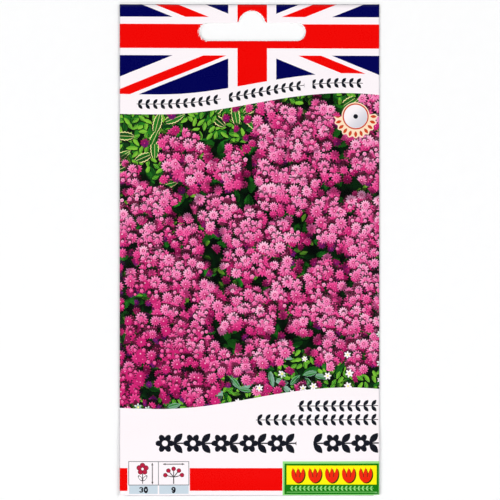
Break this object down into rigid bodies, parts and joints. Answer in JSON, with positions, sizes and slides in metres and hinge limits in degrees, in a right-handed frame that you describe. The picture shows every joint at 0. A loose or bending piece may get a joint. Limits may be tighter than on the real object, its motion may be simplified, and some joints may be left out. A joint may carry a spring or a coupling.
{
  "type": "seed packet",
  "caption": "Folded and glued paper seed packet, flower print on its front, round-ended hang slot through the header, glassine sachet of loose seeds inside.",
  "frame": {"origin": "on the surface that the packet lies on, under the middle of its outline", "axes": "+Z out of the printed front, +Y along the packet towards the hang slot, +X to the right of the print"},
  "size_m": [0.08, 0.1512, 0.002],
  "materials": {
    "printed_paper": "coated white paper, printed and varnished, semi-gloss",
    "dried_glue": "thin dried adhesive, slightly glossy",
    "glassine": "smooth calendered paper, faintly shiny",
    "seed_husk": "dark dry husk, finely ribbed, matte"
  },
  "bodies": {
    "root": {"envelope": "printed_paper", "side_seam_glue": "dried_glue", "bottom_flap_glue": "dried_glue", "header_glue": "dried_glue", "inner_sachet": "glassine", "sachet_glue": "dried_glue", "seed_01": "seed_husk", "seed_02": "seed_husk", "seed_03": "seed_husk", "seed_04": "seed_husk", "seed_05": "seed_husk", "seed_06": "seed_husk", "seed_07": "seed_husk", "seed_08": "seed_husk", "seed_09": "seed_husk", "seed_10": "seed_husk", "seed_11": "seed_husk", "seed_12": "seed_husk", "seed_13": "seed_husk", "seed_14": "seed_husk", "seed_15": "seed_husk", "seed_16": "seed_husk", "seed_17": "seed_husk", "seed_18": "seed_husk", "seed_19": "seed_husk", "seed_20": "seed_husk", "seed_21": "seed_husk", "seed_22": "seed_husk", "seed_23": "seed_husk", "seed_24": "seed_husk", "seed_25": "seed_husk", "seed_26": "seed_husk", "seed_27": "seed_husk", "seed_28": "seed_husk", "seed_29": "seed_husk", "seed_30": "seed_husk", "seed_31": "seed_husk", "seed_32": "seed_husk", "seed_33": "seed_husk", "seed_34": "seed_husk", "seed_35": "seed_husk", "seed_36": "seed_husk", "seed_37": "seed_husk", "seed_38": "seed_husk", "seed_39": "seed_husk", "seed_40": "seed_husk"}
  },
  "joints": []
}
